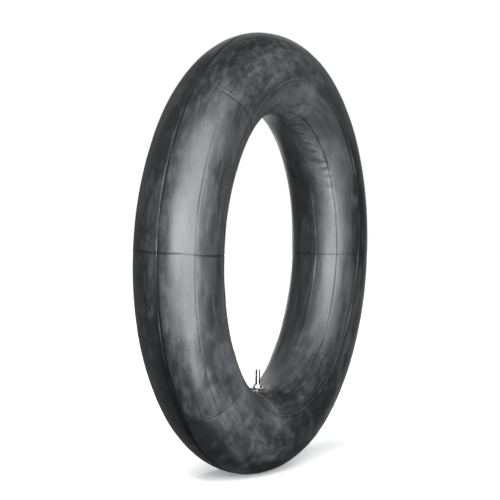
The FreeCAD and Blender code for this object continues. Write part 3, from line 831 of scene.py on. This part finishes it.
# %% Sizes along the stem
stem_low, stem_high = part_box("valve_stem")
mount = next(item for item in frame["record"]["mounts"] if item["name"] == "valve_nose")
NOSE = mount["dims"]["r_mm"] * MM
nose_foot = stem_high.z - mount["dims"]["length_mm"] * MM
FLANGE = stem_high.x
FLANGE_THICKNESS = 1.8 * MM
flange_top = stem_low.z + FLANGE_THICKNESS
bridge_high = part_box("bridge_washer")[1]
THREAD = 3.875 * MM
THREAD_DEPTH = 0.49 * MM
PITCH = 25.4 / 32 * MM
ROOT = THREAD - THREAD_DEPTH
CORE_BORE = 2.7 * MM
DUCT = 1.9 * MM
BORE_DEPTH = 9.5 * MM
CONE_DEPTH = 1.6 * MM
bore_foot = stem_high.z - BORE_DEPTH
cone_foot = bore_foot - CONE_DEPTH
LEAD = 0.3 * MM
print("thread from", round(bridge_high.z / MM, 1), "to", round(nose_foot / MM, 1), "mm")

# %% Turn the stem and cut its thread
bm = bmesh.new()
spin_outline(bm, [
    (DUCT, stem_low.z), (FLANGE, stem_low.z), (FLANGE, flange_top), (ROOT, flange_top),
    (ROOT, nose_foot), (NOSE, nose_foot), (NOSE, stem_high.z), (CORE_BORE, stem_high.z),
    (CORE_BORE, bore_foot), (DUCT, cone_foot),
])
soften(bm, 0.15 * MM)

# radius, and share of the pitch
turn_outline = [(ROOT, 0.0), (ROOT, 0.14), (THREAD, 0.44), (THREAD, 0.56), (ROOT, 0.86),
                (ROOT, 1.0)]
turns = math.ceil((nose_foot - bridge_high.z) / PITCH) + 2
start = bridge_high.z - PITCH
coil = bmesh.new()
dots = [coil.verts.new((radius, 0, start + share * PITCH)) for radius, share in turn_outline]
for pair in zip(dots[:-1], dots[1:]):
    coil.edges.new(pair)
bmesh.ops.spin(coil, geom=everything(coil), cent=(0, 0, 0), axis=(0, 0, 1),
               dvec=(0, 0, PITCH / TURN_STEPS), angle=2 * math.pi, steps=TURN_STEPS,
               use_merge=False, use_duplicate=False)
bmesh.ops.spin(coil, geom=everything(coil), cent=(0, 0, 0), axis=(0, 0, 1),
               dvec=(0, 0, PITCH), angle=2 * math.pi * (turns - 1), steps=turns - 1,
               use_merge=False, use_duplicate=True)
bmesh.ops.remove_doubles(coil, verts=coil.verts, dist=0.001 * MM)
for height, way in ((nose_foot, 1), (bridge_high.z, -1)):
    bmesh.ops.bisect_plane(coil, geom=everything(coil), dist=0.0005 * MM, plane_co=(0, 0, height),
                           plane_no=(0, 0, way), clear_outer=True)
for vertex in coil.verts:
    reach = math.hypot(vertex.co.x, vertex.co.y)
    most = NOSE + max(0.0, nose_foot - vertex.co.z)
    if reach > most:
        vertex.co.x *= most / reach
        vertex.co.y *= most / reach
ends = [item for item in coil.edges if item.is_boundary]
rim = bmesh.ops.extrude_edge_only(coil, edges=ends)["geom"]
for vertex in [item for item in rim if isinstance(item, bmesh.types.BMVert)]:
    reach = math.hypot(vertex.co.x, vertex.co.y)
    vertex.co.x *= (ROOT - LEAD) / reach
    vertex.co.y *= (ROOT - LEAD) / reach
bmesh.ops.recalc_face_normals(coil, faces=coil.faces)
thread_mesh = bpy.data.meshes.new("thread")
coil.to_mesh(thread_mesh)
coil.free()
bm.from_mesh(thread_mesh)
bpy.data.meshes.remove(thread_mesh)
stem = tidy_mesh_object("threaded_stem", bm)
finish_piece(stem, "valve_stem", "tube", nickel)
print(turns, "turns of thread cut")

# %% [markdown]
# ## Nuts and washers
#
# A nut is parted from hexagon bar, and its corners are chamfered in a lathe. A cone against six
# flats leaves the curved edge that every real nut has. Many flat cuts, each turned a little further
# round, give that cone here. Each end face is filled between its outline and the bore, and the bore
# is bridged through from face to face with a countersink at both ends.

# %% Hexagon nuts
CHAMFER_CUTS = 48
CHAMFER_TILT = math.radians(30)
CHAMFER_START = 0.1 * MM
COUNTERSINK = 0.3 * MM


def ring_of(bm, radius, height, steps=TURN_STEPS):
    """A circle of edges at a height."""
    place = Matrix.Translation((0, 0, height))
    dots = bmesh.ops.create_circle(bm, segments=steps, radius=radius, matrix=place)["verts"]
    bm.edges.index_update()
    return sorted({item for dot in dots for item in dot.link_edges}, key=lambda item: item.index)


def hexagon_nut(name, node_name, bore):
    low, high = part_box(node_name)
    flats = round(2 * high.y, 5)
    bm = bmesh.new()
    place = Matrix.Translation((0, 0, low.z)) @ Matrix.Rotation(math.pi / 2, 4, "Z")
    bmesh.ops.create_circle(bm, segments=6, radius=flats / math.sqrt(3), cap_ends=True,
                            matrix=place)
    top = bmesh.ops.extrude_face_region(bm, geom=bm.faces[:])["geom"]
    bmesh.ops.translate(bm, verts=[item for item in top if isinstance(item, bmesh.types.BMVert)],
                        vec=(0, 0, high.z - low.z))
    bmesh.ops.recalc_face_normals(bm, faces=bm.faces)
    for cut in range(CHAMFER_CUTS):
        angle = 2 * math.pi * cut / CHAMFER_CUTS
        for face_height, way in ((high.z, 1), (low.z, -1)):
            side = Vector((math.cos(angle), math.sin(angle), 0))
            slope = side * math.sin(CHAMFER_TILT) + Vector((0, 0, way * math.cos(CHAMFER_TILT)))
            at = side * (flats / 2 - CHAMFER_START) + Vector((0, 0, face_height))
            done = bmesh.ops.bisect_plane(bm, geom=everything(bm), dist=0.0005 * MM, plane_co=at,
                                          plane_no=slope, clear_outer=True)
            rim = [item for item in done["geom_cut"] if isinstance(item, bmesh.types.BMEdge)]
            if rim:
                bmesh.ops.holes_fill(bm, edges=[item for item in rim if item.is_boundary])
    bmesh.ops.remove_doubles(bm, verts=bm.verts, dist=0.01 * MM)
    bmesh.ops.dissolve_limit(bm, angle_limit=math.radians(1), verts=bm.verts, edges=bm.edges)
    circles = [ring_of(bm, bore + COUNTERSINK, high.z), ring_of(bm, bore, high.z - COUNTERSINK),
               ring_of(bm, bore, low.z + COUNTERSINK), ring_of(bm, bore + COUNTERSINK, low.z)]
    flat_faces = sorted(bm.faces, key=lambda item: -item.calc_area() * abs(item.normal.z))[:2]
    flat_faces.sort(key=lambda item: -item.calc_center_median().z)
    outlines = [list(item.edges) for item in flat_faces]
    bmesh.ops.delete(bm, geom=flat_faces, context="FACES_ONLY")
    for outline, circle, way in ((outlines[0], circles[0], 1), (outlines[1], circles[3], -1)):
        bmesh.ops.triangle_fill(bm, use_beauty=True, edges=outline + circle, normal=(0, 0, way))
    for upper, lower in zip(circles[:-1], circles[1:]):
        bmesh.ops.bridge_loops(bm, edges=upper + lower)
    bmesh.ops.recalc_face_normals(bm, faces=bm.faces)
    return tidy_mesh_object(name, bm)


THREAD_GAP = 0.05 * MM
BORE = THREAD + THREAD_GAP
NUTS = (("clamp_nut", "base_nut", "tube"), ("wheel_nut", "rim_nut", "rim_nut"))
for name, node_name, body in NUTS:
    finish_piece(hexagon_nut(name, node_name, BORE), node_name, body, zinc)

# %% Washer under the wheel nut
washer_low, washer_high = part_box("rim_washer")
bm = bmesh.new()
spin_outline(bm, [(BORE, washer_low.z), (washer_high.x, washer_low.z),
                  (washer_high.x, washer_high.z), (BORE, washer_high.z)])
soften(bm, 0.12 * MM)
finish_piece(tidy_mesh_object("wheel_washer", bm), "rim_washer", "rim_washer", zinc)

# %% [markdown]
# The bridge washer is stamped from sheet: a flat middle for the nut, and a wing bent down on each
# side to spread the clamping load over the patch. Rings of vertices grow from the hole to the
# stamped outline, they are bent down where the wings are, and the sheet gets its thickness last.
# Known fault: the thickness grows upwards, so the plate cuts into the clamp nut by its own
# thickness and hangs clear of the patch. It should grow downwards.

# %% Bridge washer
SHEET = 1.1 * MM
FLAT_HALF = 4.5 * MM
WING_BEND = 11 * MM
BRIDGE_RINGS = 14
BRIDGE_HOLE = BORE
CORNER_ROOM = 0.5 * MM


def stamped_outline(way):
    """Distance from the hole's centre to the washer's outline in a direction."""
    reach = bridge_high.y + CORNER_ROOM
    if abs(way.x) > 1e-9:
        reach = min(reach, bridge_high.x / abs(way.x))
    if abs(way.y) > 1e-9:
        reach = min(reach, bridge_high.y / abs(way.y))
    return reach


bm = bmesh.new()
bmesh.ops.create_circle(bm, segments=96, radius=BRIDGE_HOLE)
loop = bm.edges[:]
for ring in range(1, BRIDGE_RINGS + 1):
    grown = bmesh.ops.extrude_edge_only(bm, edges=loop)["geom"]
    loop = [item for item in grown if isinstance(item, bmesh.types.BMEdge)]
    loop = [item for item in loop if len(item.link_faces) == 1]
    share = ring / BRIDGE_RINGS
    for vertex in {vertex for item in loop for vertex in item.verts}:
        way = Vector((vertex.co.x, vertex.co.y, 0)).normalized()
        vertex.co = way * (BRIDGE_HOLE + (stamped_outline(way) - BRIDGE_HOLE) * share)
for vertex in bm.verts:
    over = max(0.0, abs(vertex.co.y) - FLAT_HALF)
    bend = WING_BEND + SHEET
    vertex.co.z = bridge_high.z - (bend - math.sqrt(bend * bend - over * over))
bmesh.ops.recalc_face_normals(bm, faces=bm.faces)
bmesh.ops.solidify(bm, geom=bm.faces[:], thickness=SHEET)
soften(bm, 0.14 * MM, 50)
bridge = tidy_mesh_object("bridge_plate", bm)
finish_piece(bridge, "bridge_washer", "tube", zinc)

# %% [markdown]
# ## The valve core
#
# The core sits inside the stem. Its engineering shapes are already the real ones, turned brass with
# two rubber seals, so they stay as they are and only get their finishes. The return spring is wound
# again here as a wire circle that climbs as it turns; the real one shortens when the pin is pushed.

# %% Return spring
spring_low, spring_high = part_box("core_spring")
WIRE = 0.14 * MM
COIL = spring_high.x - WIRE
SPRING_TURNS = 5
SPRING_STEPS = 40
rest_length = spring_high.z - spring_low.z
climb = (rest_length - 2 * WIRE) / SPRING_TURNS
bm = bmesh.new()
place = Matrix.Translation((COIL, 0, spring_low.z + WIRE)) @ Matrix.Rotation(math.pi / 2, 4, "X")
bmesh.ops.create_circle(bm, segments=12, radius=WIRE, cap_ends=True, matrix=place)
bmesh.ops.spin(bm, geom=everything(bm), cent=(0, 0, 0), axis=(0, 0, 1),
               dvec=(0, 0, climb / SPRING_STEPS), angle=2 * math.pi * SPRING_TURNS,
               steps=SPRING_STEPS * SPRING_TURNS, use_merge=False, use_duplicate=False)
bmesh.ops.recalc_face_normals(bm, faces=bm.faces)
spring = tidy_mesh_object("wound_spring", bm)
finish_piece(spring, "core_spring", "tube", wire)
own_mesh(spring)

# %% Core finishes
seal_rubber, seal_tree, seal_shader = new_material("seal_rubber", Roughness=0.55)
seal_grain = use_group(seal_tree, grain, {"Size": 0.3})
seal_colour = blend(seal_tree, seal_grain.outputs["Speckle"], (0.22, 0.03, 0.025, 1),
                    (0.32, 0.07, 0.06, 1))
seal_tree.links.new(seal_colour, seal_shader.inputs["Base Color"])
CORE_FINISHES = {
    brass: ("core_plug", "core_barrel", "core_pin", "spring_collar", "plunger_cup"),
    seal_rubber: ("core_gasket", "plunger_seal"),
}
for material, names in CORE_FINISHES.items():
    for name in names:
        for slot in frame["nodes"][name].material_slots:
            slot.material = material
print("core pieces finished:", sum(len(names) for names in CORE_FINISHES.values()))

# %% A helper that lists a box's corners
def corners(box):
    return [list(corner) for corner in box]
